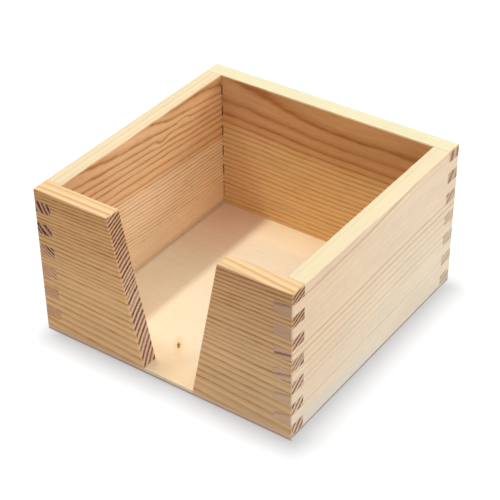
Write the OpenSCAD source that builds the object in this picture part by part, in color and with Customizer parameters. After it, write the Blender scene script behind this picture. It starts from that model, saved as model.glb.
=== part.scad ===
// Square open-top counter box for folded paper napkins.
// Four wall boards are finger-jointed at the corners. A tapered hand notch splits the front
// board into two cheeks, and a thin plywood base is glued and pinned on from below.
// Millimetres. +Z is up, the notch faces -Y, and the origin is the centre of the underside.

/* [Box] */
// Outside width, left to right
box_w = 154; // [135:1:220]
// Outside depth, front to back
box_d = 155; // [110:1:220]
// Height of the wall boards
wall_h = 85; // [50:1:140]
// Thickness of the wall boards
board_t = 10; // [7:0.5:16]
// Thickness of the base panel
base_t = 3; // [2:0.5:6]

/* [Front notch] */
// Width of the left cheek along its top
left_top_w = 46.5; // [36:0.5:60]
// Width of the left cheek along the base panel
left_bottom_w = 64.5; // [50:0.5:80]
// Width of the right cheek along its top
right_top_w = 42; // [36:0.5:56]
// Width of the right cheek along the base panel
right_bottom_w = 59; // [50:0.5:75]

/* [Finger joints] */
// Fingers up each corner, odd so that the front and back boards have one at both ends
finger_count = 13; // [7:2:19]
// Glue line between the mating faces of a joint
glue_gap = 0.1; // [0.05:0.05:0.3]
// Depth that the sockets in the front board are cut past the side fingers
front_socket_gap = 0.2; // [0.1:0.1:0.8]
// Depth that the sockets in the back board are cut past the side fingers
back_socket_gap = 0.6; // [0.1:0.1:0.8]

/* [Eased edges] */
// Leg of the chamfer on the outside corners, the rim and the notch
edge_ease = 0.5; // [0.2:0.1:1.5]
// Leg of the chamfer around the underside of the base panel
foot_ease = 0.2; // [0.1:0.1:1.2]

/* [Base brads] */
// Diameter of a brad's shank
brad_d = 1.2; // [0.8:0.1:2]
// Length of a brad from head to point
brad_len = 15; // [10:1:25]
// Length of the tapered point
brad_point = 1.8; // [1:0.1:3]
// Diameter of the blunt tip of the point
brad_tip_d = 0.3; // [0.1:0.1:0.6]
// Diameter of the head
brad_head_d = 2; // [2:0.1:3.5]
// Thickness of the head
brad_head_t = 0.8; // [0.4:0.1:1.2]
// Depth of the heads below the underside of the base panel
brad_sink = 0.3; // [0.1:0.1:0.6]
// Clearance between a brad and its hole, all round
brad_fit = 0.02; // [0.01:0.01:0.1]
// Brads along each side wall and along the back wall
wall_brads = 3; // [2:1:6]
// Distance from the end of a wall to its nearest brad
brad_inset = 22; // [16:1:26]
// Distance from the foot of the notch to the nearest brad
notch_inset = 10; // [6:1:16]

/* [Hidden] */
$fn = 32;
// Overshoot of the cutting shapes past the surfaces that they cut
over = 1;

box_h = base_t + wall_h;
half_w = box_w / 2;
half_d = box_d / 2;
inner_x = half_w - board_t;
inner_y = half_d - board_t;
front_shoulder_x = inner_x - front_socket_gap;
back_shoulder_x = inner_x - back_socket_gap;
shoulder_y = inner_y - glue_gap;
finger_h = wall_h / finger_count;

pine = [0.80, 0.64, 0.45];
pale_pine = [0.89, 0.80, 0.66];
birch = [0.93, 0.81, 0.66];
steel = [0.62, 0.62, 0.64];

// Centres of the brads along each wall, as [x, y]
side_brad_x = half_w - board_t / 2;
back_brad_y = half_d - board_t / 2;
side_brads = [for (k = [0 : wall_brads - 1]) [-side_brad_x, brad_row(k, box_d)]];
back_brads = [for (k = [0 : wall_brads - 1]) [brad_row(k, box_w), back_brad_y]];
left_cheek_brads = cheek_brads(left_bottom_w);
right_cheek_brads = cheek_brads(right_bottom_w);

// Place of brad k in the row along a wall of the given length
function brad_row(k, wall_len) =
  -wall_len / 2 + brad_inset + k * (wall_len - 2 * brad_inset) / (wall_brads - 1);

// The two brads under a cheek that stands at the left end of the front
function cheek_brads(bottom_w) = [
  [-half_w + brad_inset, -back_brad_y],
  [-half_w + bottom_w - notch_inset, -back_brad_y]
];

// Lower and upper face of finger i, counted from 0 at the base
function finger_low(i) = base_t + i * finger_h + (i > 0 ? glue_gap / 2 : 0);
function finger_high(i) = base_t + (i + 1) * finger_h - (i < finger_count - 1 ? glue_gap / 2 : 0);

// Stands an (x, z) drawing up and pulls it through from y0 to y1
module along_y(y0, y1) {
  translate([0, y1, 0])
    rotate([90, 0, 0])
      linear_extrude(y1 - y0)
        children();
}

// Stands a (y, z) drawing up and pulls it through from x0 to x1
module along_x(x0, x1) {
  translate([x0, 0, 0])
    rotate([90, 0, 90])
      linear_extrude(x1 - x0)
        children();
}

// Rectangle between two corners, with its lower and upper corners cut at 45 degrees
module eased_rect(low, high, low_cut, high_cut) {
  polygon([
    [low.x + low_cut, low.y],
    [high.x - low_cut, low.y],
    [high.x, low.y + low_cut],
    [high.x, high.y - high_cut],
    [high.x - high_cut, high.y],
    [low.x + high_cut, high.y],
    [low.x, high.y - high_cut],
    [low.x, low.y + low_cut]
  ]);
}

// Outside of the glued-up box, with all of its outer edges eased
module envelope() {
  intersection() {
    linear_extrude(box_h)
      eased_rect([-half_w, -half_d], [half_w, half_d], edge_ease, edge_ease);
    along_y(-half_d, half_d)
      eased_rect([-half_w, 0], [half_w, box_h], foot_ease, edge_ease);
    along_x(-half_w, half_w)
      eased_rect([-half_d, 0], [half_d, box_h], foot_ease, edge_ease);
  }
}

// Tapered profile through the rim, whose slanted lines run through the inner edges of the rim
module rim_profile(reach) {
  below = edge_ease + over;
  polygon([
    [-reach + over, box_h - below],
    [reach - over, box_h - below],
    [reach + below, box_h + over],
    [-reach - below, box_h + over]
  ]);
}

// Cut that eases the inside of the rim on all four walls
module rim_cut() {
  intersection() {
    along_y(-half_d, half_d)
      rim_profile(inner_x);
    along_x(-half_w, half_w)
      rim_profile(inner_y);
  }
}

// Eases a wall where it shows on the finished box and bores it for its brads
module finished(brads) {
  difference() {
    intersection() {
      envelope();
      children();
    }
    rim_cut();
    brad_holes(brads);
  }
}

// Fingers first, first + 2 and so on, drawn as strips between two places along the board
module fingers(first, from, to) {
  for (i = [first : 2 : finger_count - 1])
    translate([from, finger_low(i)])
      square([to - from, finger_high(i) - finger_low(i)]);
}

// Board between two shoulders, drawn as a plain rectangle
module slab(from, to) {
  translate([from, base_t])
    square([to - from, wall_h]);
}

// Side wall at the left of the box
module side_wall() {
  finished(side_brads)
    along_x(-half_w, -inner_x) {
      slab(-shoulder_y, shoulder_y);
      fingers(1, -half_d, half_d);
    }
}

// Bars along the two long edges of the notch's cut face, for easing them
module notch_ease(x_bottom, x_top) {
  run = x_top - x_bottom;
  for (y = [-half_d, -inner_y])
    translate([x_bottom, y, base_t])
      rotate([0, atan2(run, wall_h), 0])
        translate([0, 0, -over])
          linear_extrude(norm([run, wall_h]) + 2 * over)
            polygon([[edge_ease, 0], [0, edge_ease], [-edge_ease, 0], [0, -edge_ease]]);
}

// Cheek at the left end of the front, from its fingers to the slanted face of the notch
module cheek(top_w, bottom_w, brads) {
  x_top = top_w - half_w;
  x_bottom = bottom_w - half_w;
  x_shoulder = x_top + (x_bottom - x_top) * edge_ease / wall_h;
  difference() {
    finished(brads)
      along_y(-half_d, -inner_y) {
        polygon([
          [-front_shoulder_x, base_t],
          [x_bottom, base_t],
          [x_shoulder, box_h - edge_ease],
          [x_top - edge_ease, box_h],
          [-front_shoulder_x, box_h]
        ]);
        fingers(0, -half_w, x_top - edge_ease);
      }
    notch_ease(x_bottom, x_top);
  }
}

// One brad standing point up, with the given clearance added all round
module brad(grow) {
  straight = brad_len - brad_point + grow;
  translate([0, 0, brad_sink]) {
    cylinder(d = brad_head_d + 2 * grow, h = brad_head_t + grow);
    cylinder(d = brad_d + 2 * grow, h = straight);
    translate([0, 0, straight])
      cylinder(d1 = brad_d + 2 * grow, d2 = brad_tip_d + 2 * grow, h = brad_point);
  }
}

// Holes that the given brads are driven into, open at the underside
module brad_holes(brads) {
  for (p = brads)
    translate([p.x, p.y, 0]) {
      brad(brad_fit);
      translate([0, 0, -over])
        cylinder(d = brad_head_d + 2 * brad_fit, h = over + brad_sink + brad_head_t);
    }
}

// All brads, or their holes in the base, at their places under the walls
module at_all_brads() {
  for (p = concat(side_brads, back_brads, left_cheek_brads))
    translate([p.x, p.y, 0])
      children();
  mirror([1, 0, 0])
    for (p = concat(side_brads, right_cheek_brads))
      translate([p.x, p.y, 0])
        children();
}

module left_wall() {
  color(pine)
    side_wall();
}

module right_wall() {
  color(pale_pine)
    mirror([1, 0, 0])
      side_wall();
}

module back_wall() {
  color(pine)
    finished(back_brads)
      along_y(inner_y, half_d) {
        slab(-back_shoulder_x, back_shoulder_x);
        fingers(0, -half_w, half_w);
      }
}

module front_left_cheek() {
  color(pine)
    cheek(left_top_w, left_bottom_w, left_cheek_brads);
}

module front_right_cheek() {
  color(pine)
    mirror([1, 0, 0])
      cheek(right_top_w, right_bottom_w, right_cheek_brads);
}

module base_panel() {
  color(birch)
    difference() {
      intersection() {
        envelope();
        translate([-half_w, -half_d, 0])
          cube([box_w, box_d, base_t]);
      }
      at_all_brads()
        brad_holes([[0, 0]]);
    }
}

module base_brads() {
  color(steel)
    at_all_brads()
      brad(0);
}

left_wall();
right_wall();
back_wall();
front_left_cheek();
front_right_cheek();
base_panel();
base_brads();
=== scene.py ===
"""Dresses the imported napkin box: solid pine boards, a birch plywood base, and a white studio."""

import math
from dataclasses import dataclass

import bpy
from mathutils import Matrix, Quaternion, Vector


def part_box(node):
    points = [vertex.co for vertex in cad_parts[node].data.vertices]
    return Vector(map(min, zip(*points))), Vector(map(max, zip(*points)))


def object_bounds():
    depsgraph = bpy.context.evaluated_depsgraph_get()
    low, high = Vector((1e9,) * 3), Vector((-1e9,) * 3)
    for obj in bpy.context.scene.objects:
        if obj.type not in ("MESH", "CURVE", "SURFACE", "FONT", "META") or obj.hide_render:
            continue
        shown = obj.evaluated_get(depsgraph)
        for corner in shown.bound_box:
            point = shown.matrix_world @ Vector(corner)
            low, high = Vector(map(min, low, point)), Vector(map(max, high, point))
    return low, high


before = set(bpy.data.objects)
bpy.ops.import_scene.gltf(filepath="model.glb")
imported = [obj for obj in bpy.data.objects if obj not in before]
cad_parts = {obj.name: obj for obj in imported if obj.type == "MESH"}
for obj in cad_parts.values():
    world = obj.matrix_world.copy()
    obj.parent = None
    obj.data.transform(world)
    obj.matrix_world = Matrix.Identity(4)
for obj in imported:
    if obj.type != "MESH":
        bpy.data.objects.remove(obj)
CAD_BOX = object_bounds()

# Lengths in this file are in millimetres where no comment says metres
MM = 0.001

# Inner faces of the walls and the top of the base
SIDE_INNER = -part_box("left_wall")[1].x / MM
BACK_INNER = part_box("back_wall")[0].y / MM
FRONT_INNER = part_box("front_left_cheek")[1].y / MM
BASE_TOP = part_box("base_panel")[1].z / MM

WHITE = (1.0, 1.0, 1.0)
# Detail of the noise patterns, from a single soft wave to fine grain
SMOOTH = 1.0
UNEVEN = 1.5
PLAIN = 2.0
FINE = 3.0
# Places of the colours among the inputs of a mix node, and of the mixed colour among its outputs
FIRST_COLOUR = 6
SECOND_COLOUR = 7
MIXED_COLOUR = 2


class Tree:
    """Node tree of a material or the world. Most methods add a node and return its result's socket."""

    def __init__(self, owner):
        owner.use_nodes = True
        self.nodes = owner.node_tree.nodes
        self.links = owner.node_tree.links

    def add(self, kind, **settings):
        node = self.nodes.new(kind)
        for name, value in settings.items():
            setattr(node, name, value)
        return node

    def put(self, value, socket):
        """Links a result to a socket, or sets the socket to a plain value."""
        if isinstance(value, bpy.types.NodeSocket):
            self.links.new(value, socket)
        else:
            socket.default_value = value

    def math(self, operation, *values):
        node = self.add("ShaderNodeMath", operation=operation)
        for value, socket in zip(values, node.inputs):
            self.put(value, socket)
        return node.outputs[0]

    def chain(self, operation, *values):
        """Joins any number of values by one operation, such as a sum or a product."""
        result = values[0]
        for value in values[1:]:
            result = self.math(operation, result, value)
        return result

    def fade(self, value, start, end, low=0.0, high=1.0):
        """Smooth change from low to high while the value goes from start to end."""
        node = self.add("ShaderNodeMapRange", interpolation_type="SMOOTHSTEP")
        for number, socket in zip((value, start, end, low, high), node.inputs):
            self.put(number, socket)
        return node.outputs[0]

    def vector(self, *parts):
        node = self.add("ShaderNodeCombineXYZ")
        for value, socket in zip(parts, node.inputs):
            self.put(value, socket)
        return node.outputs[0]

    def split(self, vector):
        node = self.add("ShaderNodeSeparateXYZ")
        self.put(vector, node.inputs[0])
        return list(node.outputs)

    def vector_math(self, operation, vector):
        node = self.add("ShaderNodeVectorMath", operation=operation)
        self.put(vector, node.inputs[0])
        return node

    def length(self, first, second):
        """Length of the diagonal over two sides."""
        return self.vector_math("LENGTH", self.vector(first, second, 0.0)).outputs["Value"]

    def place(self):
        """X, y and z in the CAD frame, in millimetres."""
        spot = self.add("ShaderNodeTexCoord").outputs["Object"]
        scaled = self.vector_math("SCALE", spot)
        self.put(1 / MM, scaled.inputs["Scale"])
        return self.split(scaled.outputs["Vector"])

    def facing(self):
        """How squarely the surface faces along x, y and z, each from 0 to 1."""
        normal = self.add("ShaderNodeNewGeometry").outputs["Normal"]
        return self.split(self.vector_math("ABSOLUTE", normal).outputs["Vector"])

    def noise(self, place, sizes, detail=PLAIN):
        """Noise node whose features have the given sizes along the three axes of the place."""
        node = self.add("ShaderNodeTexNoise")
        shrunk = [self.math("DIVIDE", value, size) for value, size in zip(place, sizes)]
        self.put(self.vector(*shrunk), node.inputs["Vector"])
        self.put(1.0, node.inputs["Scale"])
        self.put(detail, node.inputs["Detail"])
        return node

    def swing(self, noise, reach):
        """A noise node's value, centred on 0 and scaled to the given reach."""
        return self.math("MULTIPLY_ADD", noise.outputs["Fac"], 2 * reach, -reach)

    def curve(self, value, stops):
        """Value read off a line through (place, height) stops."""
        node = self.add("ShaderNodeValToRGB")
        elements = node.color_ramp.elements
        while len(elements) < len(stops):
            elements.new(1.0)
        for element, (place, height) in zip(elements, stops):
            element.position = place
            element.color = (height, height, height, 1.0)
        self.put(value, node.inputs["Fac"])
        return node.outputs["Color"]

    def mix(self, share, first, second, blend="MIX"):
        """Two colours, or a colour and a grey value, mixed by a share from 0 to 1."""
        node = self.add("ShaderNodeMix", data_type="RGBA", blend_type=blend)
        self.put(share, node.inputs["Factor"])
        self.put(colour(first), node.inputs[FIRST_COLOUR])
        self.put(colour(second), node.inputs[SECOND_COLOUR])
        return node.outputs[MIXED_COLOUR]

    def bump(self, height, depth, strength):
        """Normal of a surface with the given height map, whose full depth is in millimetres."""
        node = self.add("ShaderNodeBump")
        self.put(height, node.inputs["Height"])
        self.put(depth * MM, node.inputs["Distance"])
        self.put(strength, node.inputs["Strength"])
        return node.outputs["Normal"]

    def seen_ray(self):
        """1 for a ray from the camera, a reflection or a clear surface, and 0 for falling light."""
        path = self.add("ShaderNodeLightPath").outputs
        kinds = ("Is Camera Ray", "Is Glossy Ray", "Is Transmission Ray")
        return self.chain("MAXIMUM", *[path[kind] for kind in kinds])


def colour(value):
    """A linear colour with its opacity added. Sockets pass through."""
    if isinstance(value, bpy.types.NodeSocket):
        return value
    return (*value, 1.0)


@dataclass
class Cut:
    """How a pine board lies in its tree, and its colours. Lengths are in millimetres."""

    # Axis that the grain follows
    along: str
    # Centre of the tree across the board and up, at the middle of the board's length
    pith: tuple
    # (radius, ring width) pairs; each width holds from its radius outwards
    rings: tuple
    # Colours of pale spring wood and dark summer wood on the faces, the rim and the ends. The rim's
    # paler colours are partly the sanded wood's own and partly a painted highlight of the light from
    # above
    face: tuple
    rim: tuple
    end: tuple
    # Travel of the pith across and up, per millimetre along the board
    drift: tuple = (0.0, 0.0)
    # Bow of the pith across the board: its amount, and where along the board it begins and ends
    bow: tuple = (0.0, -1.0, 1.0)
    # Growth of the ring width per millimetre along the board, about the given radius, and where
    # along the board it stops
    taper: float = 0.0
    pivot: float = 0.0
    taper_end: float = 1000.0
    # Slow wander of the rings, and their quicker ripple
    wander: float = 0.8
    ripple: float = 0.25
    # Small swirls in the grain: place along and up, half length, half height and push outwards
    swirls: tuple = ()
    # Share of the rings' depth that differs from ring to ring, and which rings are the strong ones
    uneven: float = 0.4
    seed: float = 0.0
    # How rare the strong rings are: 1 for an even spread of strengths, and more for fewer
    rare: float = 1.0
    # How narrow the dark lines are, on the faces and on the ends
    face_sharp: float = 1.0
    end_sharp: float = 1.0
    # Radius of the heartwood and half the width of its edge
    heart: float = 1000.0
    heart_fade: float = 1.5
    # Share of the contrast that is left inside the heart and outside it, and a tint outside it
    heart_contrast: float = 1.0
    sap_contrast: float = 1.0
    sap: tuple = WHITE
    # Radii between which the faces turn to a darker zone, inwards or outwards, and its tint
    zone: tuple = (-1.0, -2.0)
    zone_tint: tuple = WHITE
    # Radii between which the ends turn to sapwood, its tint there and the contrast that is left
    end_heart: tuple = (1000.0, 1001.0)
    end_sap: tuple = WHITE
    end_contrast: float = 1.0
    # Radii between which the lines on the faces nearly die out
    calm: tuple = (1000.0, 1001.0)
    # Tints of the faces at the low and the high end of the board, and where they are reached. They are
    # partly painted light and shade along the board and partly the wood's own change
    toe: tuple = WHITE
    heel: tuple = WHITE
    reach: tuple = (-70.0, 70.0)
    # Tint at the foot of the low end, a cool painted reflection of the white floor, and where it dies
    # out going up and along the board
    foot: tuple = WHITE
    foot_up: tuple = (2.0, 18.0)
    foot_along: tuple = (-40.0, 25.0)
    # Depth of the fine marks: fibres, flecks and blotches
    marks: float = 1.0
    # Lines along the rim: the step between them and their shift across it
    rim_step: float = 2.2
    rim_shift: float = 0.0
    # Where along the board these lines begin to run across the rim, and by how much per millimetre
    rim_bend: tuple = (0.0, 0.0)


FRONT = Cut(
    along="x",
    pith=(-28.5, -31.0),
    rings=((26.3, 3.0), (86.3, 2.1), (97.0, 2.65), (106.0, 2.05)),
    face=((0.99, 0.635, 0.322), (0.61, 0.235, 0.035)),
    rim=((0.775, 0.54, 0.30), (0.57, 0.33, 0.14)),
    end=((0.76, 0.545, 0.40), (0.13, 0.055, 0.025)),
    taper=0.0014,
    pivot=97.0,
    wander=0.5,
    uneven=0.6,
    heart=95.0,
    heart_fade=24.0,
    heart_contrast=0.65,
    sap_contrast=1.05,
    sap=(0.87, 0.80, 0.75),
    zone=(119.0, 125.5),
    zone_tint=(0.90, 0.875, 0.845),
    end_heart=(71.0, 119.0),
    end_sap=(0.83, 0.70, 0.58),
    end_contrast=1.25,
    heel=(0.87, 0.92, 1.01),
    reach=(-10.0, 80.0),
    rim_step=4.15,
    rim_shift=3.0,
    rim_bend=(-18.0, 0.10),
)
BACK = Cut(
    along="x",
    pith=(49.5, 88.0),
    rings=((0.6, 5.5), (33.6, 3.9), (37.5, 2.85)),
    face=((0.67, 0.36, 0.163), (0.45, 0.165, 0.048)),
    rim=((0.725, 0.665, 0.44), (0.68, 0.60, 0.38)),
    end=((0.64, 0.44, 0.295), (0.30, 0.165, 0.10)),
    bow=(4.6, -62.0, 15.0),
    ripple=0.55,
    face_sharp=1.3,
    heart=38.0,
    heart_fade=5.0,
    sap_contrast=0.85,
    sap=(1.25, 1.52, 1.62),
    end_heart=(33.0, 43.0),
    end_sap=(1.25, 1.42, 1.52),
    end_contrast=0.75,
    # Painted shade towards the left corner and painted light towards the right end
    toe=(0.99, 1.06, 1.18),
    heel=(1.07, 1.10, 1.06),
    reach=(-67.0, 5.0),
)
LEFT = Cut(
    along="y",
    pith=(-47.0, 92.0),
    rings=((4.2, 2.75), (26.2, 3.0), (35.2, 4.2), (43.6, 2.2)),
    face=((0.78, 0.48, 0.255), (0.47, 0.195, 0.055)),
    rim=((0.74, 0.60, 0.39), (0.675, 0.53, 0.32)),
    end=((0.70, 0.40, 0.25), (0.085, 0.018, 0.004)),
    drift=(-0.065, -0.02),
    taper=0.0015,
    pivot=40.0,
    taper_end=0.0,
    ripple=0.6,
    swirls=(
        (12.5, 72.5, 9.0, 4.0, 1.6),
        (32.5, 76.5, 8.0, 3.5, -1.4),
        (26.0, 89.0, 26.0, 7.0, 1.5),
    ),
    face_sharp=1.4,
    heart=45.6,
    heart_fade=2.5,
    sap_contrast=0.8,
    sap=(1.12, 1.33, 1.60),
    zone=(20.5, 17.2),
    zone_tint=(0.82, 0.78, 0.70),
    end_heart=(50.0, 53.0),
    end_sap=(1.29, 1.30, 1.16),
    end_contrast=0.5,
    calm=(70.0, 82.0),
    # Painted light towards the front and painted shade towards the back
    toe=(0.99, 1.03, 1.07),
    heel=(1.00, 0.98, 0.94),
    reach=(-20.0, 65.0),
    rim_step=3.6,
)
RIGHT = Cut(
    along="y",
    pith=(125.0, -200.0),
    rings=((211.8, 4.0),),
    face=((0.89, 0.76, 0.58), (0.71, 0.53, 0.345)),
    rim=((0.73, 0.622, 0.405), (0.685, 0.56, 0.35)),
    end=((0.79, 0.52, 0.33), (0.34, 0.16, 0.085)),
    drift=(0.0, 0.022),
    ripple=0.35,
    swirls=((40.0, 92.0, 75.0, 22.0, 4.0),),
    uneven=1.9,
    seed=201420.0,
    rare=3.0,
    face_sharp=1.6,
    end_sharp=4.0,
    heart=245.0,
    heart_fade=30.0,
    sap=(0.97, 0.905, 0.85),
    end_heart=(235.0, 285.0),
    end_sap=(0.84, 0.77, 0.77),
    end_contrast=0.45,
    toe=(1.01, 0.965, 0.945),
    heel=(1.0, 1.01, 1.02),
    reach=(-60.0, 20.0),
    # Cool painted reflection of the white floor low on the front end
    foot=(0.90, 1.02, 1.18),
    marks=0.7,
)

# Sizes of the features of pine along the grain, across it and up
WANDER_SIZE = (70.0, 28.0, 28.0)
RIPPLE_SIZE = (20.0, 8.0, 8.0)
JITTER_SIZE = (9.0, 1.3, 1.3)
FIBRE_SIZE = (9.0, 0.55, 0.55)
FLECK_SIZE = (5.0, 0.5, 0.5)
BLOTCH_SIZE = (42.0, 12.0, 12.0)
# Sizes of the streaks along the grain and across the rings
STREAK_SIZE = (75.0, 0.8, 1.0)
# Reach of the rings' fine jitter, and of the waves in the lines along the rim
JITTER_REACH = 0.36
RIM_WAVE = 0.8
# Length over which a ring's strength changes, the reach of that change, and that of the fibres' breaks
STRENGTH_SIZE = 50.0
STRENGTH_REACH = 0.7
BREAK_REACH = 1.5
# (place, height) stops of the dark summer wood across one ring, on the faces and on the ends
FACE_PROFILE = ((0.0, 0.5), (0.12, 0.05), (0.4, 0.0), (0.7, 0.4), (0.9, 1.0), (1.0, 0.5))
END_PROFILE = ((0.0, 0.6), (0.08, 0.0), (0.45, 0.0), (0.62, 0.85), (0.92, 1.0), (1.0, 0.6))
# Contrast that is left where the lines die out
CALM_CONTRAST = 0.25
# How squarely a surface faces along the board, up or along any axis as it turns to an end, to the
# rim or to an eased corner, and from where on it counts as square
END_FACING = (0.75, 0.95)
RIM_FACING = (0.6, 0.95)
CORNER_FACING = (0.97, 0.8)
SQUARE_FACING = 0.9
# Depth of the fine marks, and the noise levels at which a fleck begins and is full
STREAK_DEPTH = 0.12
FIBRE_DEPTH = 0.16
BLOTCH_DEPTH = 0.1
FLECK_DEPTH = 0.14
FLECK_LEVELS = (0.58, 0.72)
# Share of the fine marks that is left on the sanded rim, and share of its colour on eased corners
RIM_MARKS = 0.4
CORNER_WEAR = 0.2
# Roughness of pine, its swing with the fibres, and how much smoother summer wood is
PINE_ROUGHNESS = 0.68
PINE_ROUGH_SWING = 0.12
SUMMER_SMOOTHER = 0.1
# Relief of pine: its depth and strength, and how far summer wood stands out in it
PINE_RELIEF = (0.06, 0.35)
SUMMER_RELIEF = 0.6
PINE_SPECULAR = 0.12
# Near-black colour on the inner sides of the side walls' fingers, in the back joints: where it begins
# along the wall, how far it reaches from the middle of the box, and its colour and share
JOINT_DARK_ALONG = (BACK_INNER - 0.2, BACK_INNER + 0.1)
JOINT_DARK_ACROSS = SIDE_INNER + 0.3
JOINT_DARK = (0.04, 0.018, 0.01)
JOINT_DARK_SHARE = 0.9
# It weakens between these heights, to this share
JOINT_DARK_HEIGHTS = (26.0, 14.0)
LOW_JOINT_DARK = 0.35
# Painted light on the two faces of each front joint's narrow gap, over its shade: how far from the
# middle, how far forward, and its colour
PAINTED_GAP_LIGHT_ACROSS = (SIDE_INNER - 0.3, SIDE_INNER + 0.1)
PAINTED_GAP_LIGHT_FRONT = FRONT_INNER + 0.05
PAINTED_GAP_LIGHT = (0.84, 0.71, 0.55)
# Painted shade where the side walls meet the base: its reach and depth on the walls and on the base
WALL_FOOT_SHADE = (5.0, 0.21)
BASE_FOOT_SHADE = (2.2, 0.18)
# A side wall's surface counts as its inner face up to this far past it
INNER_MARGIN = 0.05


def ring_count(tree, radius, rings):
    """Number of growth rings inside a radius."""
    start, width = rings[0]
    count = tree.math("MULTIPLY_ADD", radius, 1 / width, -start / width)
    for next_start, next_width in rings[1:]:
        past = tree.math("MAXIMUM", tree.math("SUBTRACT", radius, next_start), 0.0)
        count = tree.math("MULTIPLY_ADD", past, 1 / next_width - 1 / width, count)
        width = next_width
    return count


def swirl(tree, along, up, place):
    """Push of one swirl in the grain, which dies away towards the edge of its oval."""
    centre_along, centre_up, half_length, half_height, push = place
    along_oval = tree.math("DIVIDE", tree.math("SUBTRACT", along, centre_along), half_length)
    up_oval = tree.math("DIVIDE", tree.math("SUBTRACT", up, centre_up), half_height)
    return tree.fade(tree.length(along_oval, up_oval), 1.0, 0.0, 0.0, -push)


def ring_radius(tree, cut, along, across, up):
    """Distance from the pith, bent by the tree's wander and swirls, and ragged at a fine scale."""
    spot = (along, across, up)
    waves = tree.split(tree.noise(spot, WANDER_SIZE, UNEVEN).outputs["Color"])
    offsets = []
    for value, wave, pith, drift in zip((across, up), waves, cut.pith, cut.drift):
        bent = tree.math("MULTIPLY_ADD", wave, 2 * cut.wander, value)
        straight = tree.math("MULTIPLY_ADD", along, -drift, -pith - cut.wander)
        offsets.append(tree.math("ADD", bent, straight))
    amount, start, end = cut.bow
    bow = tree.fade(along, start, end, amount, 0.0)
    radius = tree.length(tree.math("ADD", offsets[0], bow), offsets[1])
    ripple = tree.swing(tree.noise(spot, RIPPLE_SIZE, SMOOTH), cut.ripple)
    ragged = tree.swing(tree.noise(spot, JITTER_SIZE), JITTER_REACH)
    pushes = [swirl(tree, along, up, place) for place in cut.swirls]
    radius = tree.chain("ADD", radius, ripple, ragged, *pushes)
    tapered = tree.math("MINIMUM", along, cut.taper_end)
    stretch = tree.math("MULTIPLY_ADD", tapered, -cut.taper, 1.0)
    from_pivot = tree.math("SUBTRACT", radius, cut.pivot)
    return tree.math("MULTIPLY_ADD", from_pivot, stretch, cut.pivot)


def ring_strength(tree, cut, count, along):
    """Depth of each ring's dark line: some rings are stronger, and each changes along the board."""
    ring = tree.math("ADD", tree.math("FLOOR", count), cut.seed)
    tone = tree.add("ShaderNodeTexWhiteNoise", noise_dimensions="1D")
    tree.put(ring, tone.inputs["W"])
    picked = tree.math("POWER", tone.outputs["Value"], cut.rare)
    depth = tree.math("MULTIPLY_ADD", picked, cut.uneven, 1 - cut.uneven / 2)
    place = (along, tree.math("MULTIPLY", ring, STRENGTH_SIZE), 0.0)
    change = tree.noise(place, (STRENGTH_SIZE,) * 3, SMOOTH)
    return tree.math("MULTIPLY", depth, tree.math("ADD", tree.swing(change, STRENGTH_REACH), 1.0))


def summer_wood(tree, cut, radius, along, fibre, sapwood, end_sapwood):
    """Shares of dark summer wood on the faces and on the ends, broken up along the fibres."""
    count = ring_count(tree, radius, cut.rings)
    part = tree.math("FRACT", count)
    broken = tree.math("ADD", tree.swing(fibre, BREAK_REACH), 1.0)
    strength = tree.math("MULTIPLY", ring_strength(tree, cut, count, along), broken)
    face_line = tree.math("POWER", tree.curve(part, FACE_PROFILE), cut.face_sharp)
    end_line = tree.math("POWER", tree.curve(part, END_PROFILE), cut.end_sharp)
    more_contrast = cut.sap_contrast - cut.heart_contrast
    face_contrast = tree.math("MULTIPLY_ADD", sapwood, more_contrast, cut.heart_contrast)
    end_contrast = tree.math("MULTIPLY_ADD", end_sapwood, cut.end_contrast - 1, 1.0)
    calm = tree.fade(radius, *cut.calm, 1.0, CALM_CONTRAST)
    on_faces = tree.chain("MULTIPLY", face_line, strength, face_contrast, calm)
    on_ends = tree.chain("MULTIPLY", end_line, strength, end_contrast)
    return on_faces, on_ends


def face_wood(tree, cut, radius, along, up, summer, sapwood):
    """Colour of the long faces: the rings, then the tints of the sapwood, the zone and the two ends,
    whose tints are partly painted light and shade.
    """
    wood = tree.mix(summer, *cut.face)
    wood = tree.mix(sapwood, wood, cut.sap, "MULTIPLY")
    wood = tree.mix(tree.fade(radius, *cut.zone), wood, cut.zone_tint, "MULTIPLY")
    length_tint_and_light = tree.mix(tree.fade(along, *cut.reach), cut.toe, cut.heel)
    wood = tree.mix(1.0, wood, length_tint_and_light, "MULTIPLY")
    # Cool painted reflection of the floor at the foot of the low end
    low_part = tree.fade(up, *cut.foot_up, 1.0, 0.0)
    near_part = tree.fade(along, *cut.foot_along, 1.0, 0.0)
    return tree.mix(tree.math("MULTIPLY", low_part, near_part), wood, cut.foot, "MULTIPLY")


def rim_wood(tree, cut, along, across, spot):
    """Colour of the sanded rim, with dark lines along it; its paleness is partly a painted highlight of
    the light from above.
    """
    wave = tree.swing(tree.noise(spot, RIPPLE_SIZE, SMOOTH), RIM_WAVE)
    start, turn = cut.rim_bend
    past = tree.math("MAXIMUM", tree.math("SUBTRACT", along, start), 0.0)
    bent = tree.chain("ADD", tree.math("MULTIPLY", past, turn), across, wave, cut.rim_shift)
    count = tree.math("DIVIDE", bent, cut.rim_step)
    part = tree.curve(tree.math("FRACT", count), FACE_PROFILE)
    summer = tree.math("MULTIPLY", part, ring_strength(tree, cut, count, along))
    return tree.mix(summer, *cut.rim)


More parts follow.
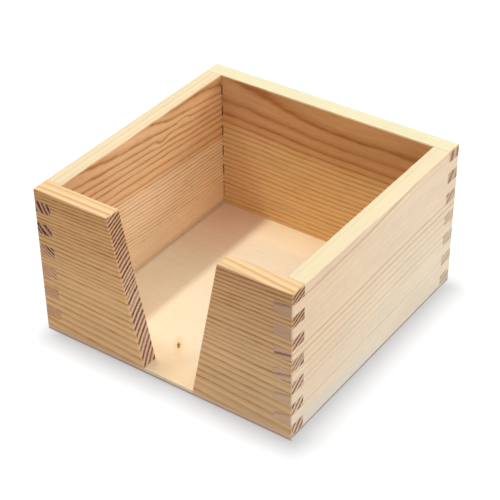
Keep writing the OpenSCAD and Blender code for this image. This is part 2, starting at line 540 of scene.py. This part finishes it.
def fine_marks(tree, spot, radius, fibre):
    """Change in brightness by streaks, fibres, blotches and short dark flecks."""
    streak = tree.noise((spot[0], radius, 0.0), STREAK_SIZE)
    blotch = tree.noise(spot, BLOTCH_SIZE, SMOOTH)
    fleck = tree.noise(spot, FLECK_SIZE, SMOOTH)
    depths = ((streak, STREAK_DEPTH), (fibre, FIBRE_DEPTH), (blotch, BLOTCH_DEPTH))
    swings = [tree.swing(noise, depth) for noise, depth in depths]
    flecks = tree.fade(fleck.outputs["Fac"], *FLECK_LEVELS, 0.0, -FLECK_DEPTH)
    return tree.chain("ADD", *swings, flecks)


def foot_painted_shade(tree, across, up):
    """Painted shade on a side wall's inner face just above the base."""
    reach, depth = WALL_FOOT_SHADE
    inner_face = tree.math("LESS_THAN", tree.math("ABSOLUTE", across), SIDE_INNER + INNER_MARGIN)
    near = tree.fade(up, BASE_TOP + reach, BASE_TOP, 0.0, -depth)
    return tree.math("MULTIPLY", inner_face, near)


def joint_darkening(tree, along, across, up):
    """Share of the near-black colour on the sides of the fingers that lie inside the open back joints.
    """
    past_corner = tree.fade(along, *JOINT_DARK_ALONG)
    inner_side = tree.math("LESS_THAN", tree.math("ABSOLUTE", across), JOINT_DARK_ACROSS)
    weaker = tree.fade(up, *JOINT_DARK_HEIGHTS, 1.0, LOW_JOINT_DARK)
    return tree.chain("MULTIPLY", past_corner, inner_side, weaker, JOINT_DARK_SHARE)


def painted_gap_light(tree, x, y, face_x):
    """1 on the two faces that look at each other across a front joint's end, where pale colour is
    painted over the gap's shade, and 0 elsewhere.
    """
    away = tree.math("ABSOLUTE", x)
    past = tree.math("GREATER_THAN", away, PAINTED_GAP_LIGHT_ACROSS[0])
    within = tree.math("LESS_THAN", away, PAINTED_GAP_LIGHT_ACROSS[1])
    front = tree.math("LESS_THAN", y, PAINTED_GAP_LIGHT_FRONT)
    sideways = tree.math("GREATER_THAN", face_x, SQUARE_FACING)
    return tree.chain("MULTIPLY", past, within, front, sideways)


def pine(name, cut):
    """Sanded pine whose growth rings run through the whole board, so faces and ends agree."""
    material = bpy.data.materials.new(name)
    tree = Tree(material)
    x, y, z = tree.place()
    face_x, face_y, face_z = tree.facing()
    along, across, end_face = (x, y, face_x) if cut.along == "x" else (y, x, face_y)
    spot = (along, across, z)
    radius = ring_radius(tree, cut, along, across, z)
    fibre = tree.noise(spot, FIBRE_SIZE, FINE)
    sapwood = tree.fade(radius, cut.heart - cut.heart_fade, cut.heart + cut.heart_fade)
    end_sapwood = tree.fade(radius, *cut.end_heart)
    summer, end_summer = summer_wood(tree, cut, radius, along, fibre, sapwood, end_sapwood)

    # Faces, ends and the sanded rim, whose pale colour is partly a painted highlight
    wood = face_wood(tree, cut, radius, along, z, summer, sapwood)
    ends = tree.mix(end_sapwood, tree.mix(end_summer, *cut.end), cut.end_sap, "MULTIPLY")
    wood = tree.mix(tree.fade(end_face, *END_FACING), wood, ends)
    rim = tree.fade(face_z, *RIM_FACING)
    wood = tree.mix(rim, wood, rim_wood(tree, cut, along, across, spot))

    # Fine marks and the painted shade at the foot, then wear, the near-black colour in the back joints
    # and painted light in the front joints
    depth = tree.math("MULTIPLY_ADD", rim, (RIM_MARKS - 1) * cut.marks, cut.marks)
    marks = tree.math("MULTIPLY", fine_marks(tree, spot, radius, fibre), depth)
    painted_shade = foot_painted_shade(tree, across, z) if cut.along == "y" else 0.0
    wood = tree.mix(1.0, wood, tree.chain("ADD", marks, painted_shade, 1.0), "MULTIPLY")
    corner = tree.fade(tree.chain("MAXIMUM", face_x, face_y, face_z), *CORNER_FACING)
    wood = tree.mix(tree.math("MULTIPLY", corner, CORNER_WEAR), wood, cut.rim[0])
    wood = tree.mix(joint_darkening(tree, along, across, z), wood, JOINT_DARK)
    wood = tree.mix(painted_gap_light(tree, x, y, face_x), wood, PAINTED_GAP_LIGHT)

    surface = tree.nodes["Principled BSDF"]
    tree.put(wood, surface.inputs["Base Color"])
    smoother = tree.math("MULTIPLY", summer, -SUMMER_SMOOTHER)
    rough = tree.chain("ADD", tree.swing(fibre, PINE_ROUGH_SWING), smoother, PINE_ROUGHNESS)
    tree.put(rough, surface.inputs["Roughness"])
    relief = tree.math("MULTIPLY_ADD", summer, SUMMER_RELIEF, fibre.outputs["Fac"])
    tree.put(tree.bump(relief, *PINE_RELIEF), surface.inputs["Normal"])
    tree.put(PINE_SPECULAR, surface.inputs["Specular IOR Level"])
    return material


# Sizes of the features of birch along x, along y and up
FIGURE_SIZE = (60.0, 9.0, 9.0)
BIRCH_FIBRE_SIZE = (9.0, 0.45, 0.45)
BIRCH_FLECK_SIZE = (3.5, 0.4, 0.4)
# Colours of birch at the two ends of its figure's range, and the depth of its fibres
BIRCH = ((0.84, 0.71, 0.52), (0.80, 0.63, 0.415))
BIRCH_FIBRE_DEPTH = 0.09
# Its flecks: their colour and share, and the noise levels at which one begins and is full
BIRCH_FLECK = (0.55, 0.36, 0.2)
BIRCH_FLECK_SHARE = 0.2
BIRCH_FLECK_LEVELS = (0.6, 0.75)
# Roughness of birch and its swing with the fibres, and the depth and strength of its relief
BIRCH_ROUGHNESS = 0.62
BIRCH_ROUGH_SWING = 0.1
BIRCH_RELIEF = (0.04, 0.3)
BIRCH_SPECULAR = 0.2
# Pin knot in the base: its middle, half length and half width, and the turn of its length from x
KNOT_SPOT = (-9.0, -53.1)
KNOT_HALF = (2.8, 0.95)
KNOT_TURN = 125.0
# Raggedness of the knot's outline, and where the knot and the halo round it begin and are full, all
# in units of the knot's half sizes
KNOT_RAGGED = 0.5
KNOT_FADE = (1.1, 0.4)
HALO_FADE = (4.0, 0.8)
# Colours and shares of the knot and its halo
KNOT = (0.15, 0.06, 0.01)
KNOT_SHARE = 0.9
HALO = (0.80, 0.50, 0.20)
HALO_SHARE = 0.55
# How squarely a surface of the base faces along an axis as it turns to an edge or to the top
EDGE_FACING = (0.6, 0.9)
# Dark core veneer where its ends show, in front and behind, and where its sides show: its heights and
# colours, and how softly it stops
CORE_END_HEIGHTS = (0.45, 1.15)
CORE_SIDE_HEIGHTS = (1.6, 2.5)
CORE_ENDS = (0.55, 0.36, 0.305)
CORE_SIDES = (0.26, 0.22, 0.19)
CORE_EDGE = 0.1
# Colours of the face veneers where their ends show, at the left and the right, and where their sides
# do, in front and behind
VENEER_ENDS = (0.80, 0.755, 0.69)
VENEER_SIDES = (0.91, 0.63, 0.455)
# Painted light and shade on the base: warm painted shade at the back left, painted light at the back
# right and paler painted light at the front. These tints, where left turns to right, and where the back
# is reached on either side
PAINTED_SHADE_TINT = (1.0, 0.86, 0.86)
PAINTED_LIGHT_TINT = (1.17, 1.17, 1.09)
PAINTED_FRONT_LIGHT_TINT = (0.99, 1.03, 1.06)
SHADE_TO_LIGHT_REACH = (-41.0, -29.0)
PAINTED_SHADE_REACH = (0.0, 55.0)
PAINTED_LIGHT_REACH = (38.0, 66.0)
# Warm painted light on the floor of the notch
NOTCH_LIGHT_REACH = (-48.0, -72.0)
PAINTED_NOTCH_LIGHT_TINT = (1.08, 0.97, 0.83)
# Painted highlight on the top of the front edge between the cheeks: where it begins and ends, and its
# colour
PAINTED_HIGHLIGHT_LEFT = (-13.5, -11.5)
PAINTED_HIGHLIGHT_RIGHT = (19.0, 17.0)
PAINTED_HIGHLIGHT_UP = (1.0, 1.7)
PAINTED_HIGHLIGHT = (0.99, 0.84, 0.62)


def knot_distance(tree, x, y):
    """Distance from the pin knot, in units of its half length and half width."""
    turn = math.radians(KNOT_TURN)
    from_x = tree.math("SUBTRACT", x, KNOT_SPOT[0])
    from_y = tree.math("SUBTRACT", y, KNOT_SPOT[1])
    pairs = ((math.cos(turn), math.sin(turn)), (-math.sin(turn), math.cos(turn)))
    turned = []
    for (share_x, share_y), half in zip(pairs, KNOT_HALF):
        part = tree.math("MULTIPLY", from_x, share_x / half)
        turned.append(tree.math("MULTIPLY_ADD", from_y, share_y / half, part))
    return tree.length(*turned)


def veneer_top(tree, x, y, figure):
    """Colour of the upper face veneer, with painted shade at the back left and painted light at the
    back right, at the front and in the notch.
    """
    wood = tree.mix(figure.outputs["Fac"], *BIRCH)
    shaded_side_tint = tree.mix(tree.fade(y, *PAINTED_SHADE_REACH), PAINTED_FRONT_LIGHT_TINT, PAINTED_SHADE_TINT)
    lit_side_tint = tree.mix(tree.fade(y, *PAINTED_LIGHT_REACH), PAINTED_FRONT_LIGHT_TINT, PAINTED_LIGHT_TINT)
    tint = tree.mix(tree.fade(x, *SHADE_TO_LIGHT_REACH), shaded_side_tint, lit_side_tint)
    wood = tree.mix(1.0, wood, tint, "MULTIPLY")
    return tree.mix(tree.fade(y, *NOTCH_LIGHT_REACH), wood, PAINTED_NOTCH_LIGHT_TINT, "MULTIPLY")


def core_band(tree, up, heights):
    """1 between two heights on the edge of the plywood, and 0 beyond them."""
    low, high = heights
    above = tree.fade(up, low - CORE_EDGE, low + CORE_EDGE)
    below = tree.fade(up, high + CORE_EDGE, high - CORE_EDGE)
    return tree.math("MULTIPLY", above, below)


def ply_edges(tree, wood, place, sideways, lengthways):
    """Adds the veneers' edges, and a painted highlight along the top of the front one, to the colour of
    the plywood.
    """
    x, y, z = place
    wood = tree.mix(sideways, wood, VENEER_ENDS)
    wood = tree.mix(lengthways, wood, VENEER_SIDES)
    core_ends = tree.math("MULTIPLY", lengthways, core_band(tree, z, CORE_END_HEIGHTS))
    wood = tree.mix(core_ends, wood, CORE_ENDS)
    core_sides = tree.math("MULTIPLY", sideways, core_band(tree, z, CORE_SIDE_HEIGHTS))
    wood = tree.mix(core_sides, wood, CORE_SIDES)
    in_front = tree.math("LESS_THAN", y, 0.0)
    between = tree.math("MULTIPLY", tree.fade(x, *PAINTED_HIGHLIGHT_LEFT), tree.fade(x, *PAINTED_HIGHLIGHT_RIGHT))
    highlight = tree.chain("MULTIPLY", in_front, lengthways, tree.fade(z, *PAINTED_HIGHLIGHT_UP), between)
    return tree.mix(highlight, wood, PAINTED_HIGHLIGHT)


def birch_ply(name):
    """Three-ply birch: pale face veneers along x over a darker core that shows at the edges."""
    material = bpy.data.materials.new(name)
    tree = Tree(material)
    place = tree.place()
    x, y, z = place
    face_x, face_y, face_z = tree.facing()
    figure = tree.noise(place, FIGURE_SIZE, FINE)
    fibre = tree.noise(place, BIRCH_FIBRE_SIZE, FINE)
    fleck = tree.noise(place, BIRCH_FLECK_SIZE, SMOOTH)
    sideways = tree.fade(face_x, *EDGE_FACING)
    lengthways = tree.fade(face_y, *EDGE_FACING)
    wood = ply_edges(tree, veneer_top(tree, x, y, figure), place, sideways, lengthways)

    # Flecks, and on the upper half of the panel the pin knot in its halo
    flecks = tree.fade(fleck.outputs["Fac"], *BIRCH_FLECK_LEVELS)
    wood = tree.mix(tree.math("MULTIPLY", flecks, BIRCH_FLECK_SHARE), wood, BIRCH_FLECK)
    upper = tree.math("GREATER_THAN", z, BASE_TOP / 2)
    ragged = tree.math("ADD", knot_distance(tree, x, y), tree.swing(fleck, KNOT_RAGGED))
    halo = tree.chain("MULTIPLY", upper, tree.fade(ragged, *HALO_FADE), HALO_SHARE)
    wood = tree.mix(halo, wood, HALO)
    knot = tree.chain("MULTIPLY", upper, tree.fade(ragged, *KNOT_FADE), KNOT_SHARE)
    wood = tree.mix(knot, wood, KNOT)

    # Fibres, and painted shade along the side walls
    reach, depth = BASE_FOOT_SHADE
    near_wall = tree.fade(tree.math("ABSOLUTE", x), SIDE_INNER - reach, SIDE_INNER, 0.0, -depth)
    painted_shade = tree.chain("MULTIPLY", near_wall, upper, tree.fade(face_z, *EDGE_FACING))
    grey = tree.chain("ADD", tree.swing(fibre, BIRCH_FIBRE_DEPTH), painted_shade, 1.0)
    wood = tree.mix(1.0, wood, grey, "MULTIPLY")

    surface = tree.nodes["Principled BSDF"]
    tree.put(wood, surface.inputs["Base Color"])
    rough = tree.math("ADD", tree.swing(fibre, BIRCH_ROUGH_SWING), BIRCH_ROUGHNESS)
    tree.put(rough, surface.inputs["Roughness"])
    tree.put(tree.bump(fibre.outputs["Fac"], *BIRCH_RELIEF), surface.inputs["Normal"])
    tree.put(BIRCH_SPECULAR, surface.inputs["Specular IOR Level"])
    return material


# Sizes of the die's lines and of the duller patches on the wire, along x, along y and up
LINE_SIZE = (0.08, 0.08, 2.5)
PATCH_SIZE = (0.7, 0.7, 0.9)
# Colours of the steel, its roughness and how far patches and lines change it
STEEL = ((0.56, 0.55, 0.54), (0.40, 0.385, 0.37))
STEEL_ROUGHNESS = 0.36
PATCH_ROUGH_SWING = 0.25
LINE_ROUGH_SWING = 0.1
# Depth and strength of the lines' relief
STEEL_RELIEF = (0.01, 0.4)


def drawn_steel(name):
    """Bright wire with fine lines from the die and duller patches."""
    material = bpy.data.materials.new(name)
    tree = Tree(material)
    spot = tree.place()
    lines = tree.noise(spot, LINE_SIZE)
    patches = tree.noise(spot, PATCH_SIZE)
    surface = tree.nodes["Principled BSDF"]
    tree.put(tree.mix(patches.outputs["Fac"], *STEEL), surface.inputs["Base Color"])
    tree.put(1.0, surface.inputs["Metallic"])
    swings = (tree.swing(patches, PATCH_ROUGH_SWING), tree.swing(lines, LINE_ROUGH_SWING))
    tree.put(tree.chain("ADD", *swings, STEEL_ROUGHNESS), surface.inputs["Roughness"])
    tree.put(tree.bump(lines.outputs["Fac"], *STEEL_RELIEF), surface.inputs["Normal"])
    return material


# Rounding of the boards' sharp edges, and the reach within which doubled points are joined before it
EDGE_ROUND = 0.06
EDGE_SEGMENTS = 2
WELD_REACH = 0.002
# Degrees below which neighbouring triangles make one flat face, and above which an edge is sharp
FLAT_ANGLE = 1
SHARP_ANGLE = 30


def round_edges(piece):
    """Breaks the sharp edges of a CAD board, as a last pass with fine sandpaper does."""
    weld = piece.modifiers.new("weld", "WELD")
    weld.merge_threshold = WELD_REACH * MM
    flat = piece.modifiers.new("flat", "DECIMATE")
    flat.decimate_type = "DISSOLVE"
    flat.angle_limit = math.radians(FLAT_ANGLE)
    rounding = piece.modifiers.new("rounding", "BEVEL")
    rounding.width = EDGE_ROUND * MM
    rounding.segments = EDGE_SEGMENTS
    rounding.limit_method = "ANGLE"
    rounding.angle_limit = math.radians(SHARP_ANGLE)


def dress():
    """Gives every CAD node its material, and the boards their broken edges."""
    front = pine("front_pine", FRONT)
    finishes = {
        "left_wall": pine("left_pine", LEFT),
        "right_wall": pine("right_pine", RIGHT),
        "back_wall": pine("back_pine", BACK),
        "front_left_cheek": front,
        "front_right_cheek": front,
        "base_panel": birch_ply("birch_ply"),
        "base_brads": drawn_steel("brad_steel"),
    }
    for name, finish in finishes.items():
        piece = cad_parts[name]
        piece.data.materials.clear()
        piece.data.materials.append(finish)
        if name != "base_brads":
            round_edges(piece)


# Half the floor's side in metres, how far it lies below the box, and its paint
FLOOR_HALF = 3.0
FLOOR_DROP = 0.05
FLOOR_GREY = (0.6, 0.6, 0.6)
# Share of the seen floor that glows, how brightly, and the depth and reach of the contact shadow
# painted into its glow
GLOW_SHARE = 0.7
GLOW_STRENGTH = 1.25
CONTACT_DEPTH = 0.95
CONTACT_REACH = 18.0
# The shaded patch is the box's footprint, drawn in at the left and at the back, where lamps stand
SHADE_LEFT_INSET = 10.0
SHADE_BACK_INSET = 7.0
# Its reach along x and along y, in metres
SHADED_X = (CAD_BOX[0].x + SHADE_LEFT_INSET * MM, CAD_BOX[1].x)
SHADED_Y = (CAD_BOX[0].y, CAD_BOX[1].y - SHADE_BACK_INSET * MM)


def open_sky(tree):
    """Share of the light from above that reaches the floor, as beside a tall wall at the box's foot."""
    place = tree.split(tree.add("ShaderNodeNewGeometry").outputs["Position"])
    beyond = []
    for value, (low, high) in zip(place, (SHADED_X, SHADED_Y)):
        before = tree.math("SUBTRACT", low, value)
        after = tree.math("SUBTRACT", value, high)
        beyond.append(tree.chain("MAXIMUM", before, after, 0.0))
    far = tree.length(*beyond)
    share = tree.math("MINIMUM", tree.math("DIVIDE", far, CONTACT_REACH * MM), 1.0)
    # The hidden part is a segment of a unit circle, cut off at this share of its radius
    squared = tree.math("MULTIPLY", share, share)
    half_chord = tree.math("SQRT", tree.math("SUBTRACT", 1.0, squared))
    triangle = tree.math("MULTIPLY", share, half_chord)
    segment = tree.math("SUBTRACT", tree.math("ARCCOSINE", share), triangle)
    return tree.math("MULTIPLY_ADD", segment, -1 / math.pi, 1.0)


def white_floor(name):
    """Pale paint that is lifted to white where it is seen; the lift carries a painted contact shadow
    round the box's foot, and the paint keeps the real shadow.
    """
    material = bpy.data.materials.new(name)
    tree = Tree(material)
    tree.nodes.remove(tree.nodes["Principled BSDF"])
    paint = tree.add("ShaderNodeBsdfDiffuse")
    tree.put(colour(FLOOR_GREY), paint.inputs["Color"])
    glow = tree.add("ShaderNodeEmission")
    slope = GLOW_STRENGTH * CONTACT_DEPTH
    strength = tree.math("MULTIPLY_ADD", open_sky(tree), slope, GLOW_STRENGTH - slope)
    tree.put(strength, glow.inputs["Strength"])
    lift = tree.add("ShaderNodeMixShader")
    tree.put(tree.math("MULTIPLY", tree.seen_ray(), GLOW_SHARE), lift.inputs[0])
    tree.put(paint.outputs[0], lift.inputs[1])
    tree.put(glow.outputs[0], lift.inputs[2])
    tree.put(lift.outputs[0], tree.nodes["Material Output"].inputs["Surface"])
    return material


def lay_floor():
    """Wide square floor under the box."""
    h = FLOOR_HALF
    mesh = bpy.data.meshes.new("floor")
    mesh.from_pydata([(-h, -h, 0), (h, -h, 0), (h, h, 0), (-h, h, 0)], [], [(0, 1, 2, 3)])
    mesh.materials.append(white_floor("white_floor"))
    floor = bpy.data.objects.new("floor", mesh)
    floor.location.z = -FLOOR_DROP * MM
    bpy.context.scene.collection.objects.link(floor)


# Light from the sky, and in metres the point that all lamps face and the place of both keys
SKY_STRENGTH = 0.06
AIM = (0.0, 0.0, 0.05)
KEY_PLACE = (-0.647, 0.0, 1.643)
# Name, place, size and power of each lamp, in metres and watts
LAMPS = (
    ("key", KEY_PLACE, (0.8, 0.09), 13.8),
    ("key_spread", KEY_PLACE, (0.8, 0.7), 5.4),
    ("top_back", (0.0, 1.0, 1.3), (1.0, 1.0), 5.6),
    ("high_fill", (0.8, 0.0, 1.4), (1.2, 1.2), 10.0),
    ("back_fill", (1.1, 1.1, 0.8), (1.0, 0.8), 12.2),
    ("low_fill", (1.2, -1.3, 0.35), (0.8, 0.5), 4.9),
    ("front_fill", (0.0, -1.5, 0.8), (1.0, 0.8), 2.0),
)


def lamp(name, place, size, power):
    """Rectangular soft lamp that faces the box. Its first size runs level."""
    light = bpy.data.lights.new(name, "AREA")
    light.shape = "RECTANGLE"
    light.size, light.size_y = size
    light.energy = power
    holder = bpy.data.objects.new(name, light)
    holder.location = place
    holder.rotation_euler = (Vector(AIM) - Vector(place)).to_track_quat("-Z", "Y").to_euler()
    bpy.context.scene.collection.objects.link(holder)


def light_studio():
    """Dim sky all round, a narrow and a wide key at the upper left, and wide fills."""
    world = bpy.data.worlds.new("studio")
    bpy.context.scene.world = world
    tree = Tree(world)
    sky = tree.nodes["Background"]
    tree.put(colour(WHITE), sky.inputs["Color"])
    strength = tree.math("MULTIPLY_ADD", tree.seen_ray(), 1 - SKY_STRENGTH, SKY_STRENGTH)
    tree.put(strength, sky.inputs["Strength"])
    for settings in LAMPS:
        lamp(*settings)


# Camera's place and aim in metres, and its turn about the line of sight in degrees
EYE = (0.36491, -0.51668, 0.4906)
LOOK_AT = (0.00602, -0.0097, 0.04387)
ROLL = -0.62
# Its focal length and sensor, and in metres the nearest distance that it sees
LENS = 107.03
SENSOR_WIDTH = 36.0
CLIP_START = 0.01


def place_camera():
    """Camera at the photograph's viewing angle."""
    view = bpy.data.cameras.new("camera")
    view.sensor_width = SENSOR_WIDTH
    view.lens = LENS
    view.clip_start = CLIP_START
    camera = bpy.data.objects.new("camera", view)
    camera.location = EYE
    turn = (Vector(LOOK_AT) - Vector(EYE)).to_track_quat("-Z", "Y")
    camera.rotation_mode = "QUATERNION"
    camera.rotation_quaternion = turn @ Quaternion((0, 0, 1), math.radians(ROLL))
    bpy.context.scene.collection.objects.link(camera)
    bpy.context.scene.camera = camera


dress()
lay_floor()
light_studio()
place_camera()
bpy.context.scene.view_settings.view_transform = "Standard"
bpy.context.view_layer.update()
